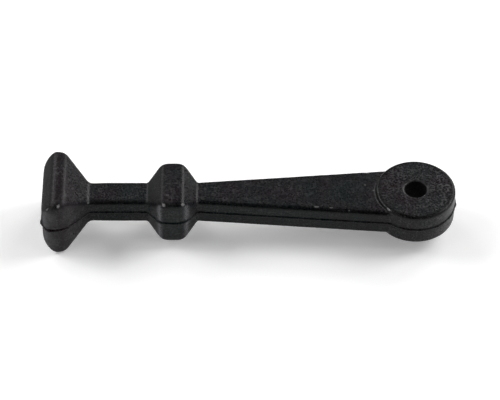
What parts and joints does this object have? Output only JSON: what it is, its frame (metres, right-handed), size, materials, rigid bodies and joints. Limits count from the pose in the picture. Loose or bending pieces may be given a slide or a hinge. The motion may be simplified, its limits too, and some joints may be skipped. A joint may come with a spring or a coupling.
{
  "type": "hood latch pull strap",
  "caption": "Rubber pull strap of a hood latch: flared pull head, neck, stop knob that drops into a keeper, tapered arm and a round eye for the anchor pin.",
  "frame": {"origin": "centre of the eye's hole, at the middle of the strap's thickness", "axes": "+Z along the hole, +X from the pull head towards the eye, +Y across the strap"},
  "size_m": [0.132, 0.0262, 0.022],
  "materials": {
    "rubber": "matt black moulded rubber, slightly worn"
  },
  "bodies": {
    "root": {"pull_strap": "rubber"}
  },
  "joints": []
}
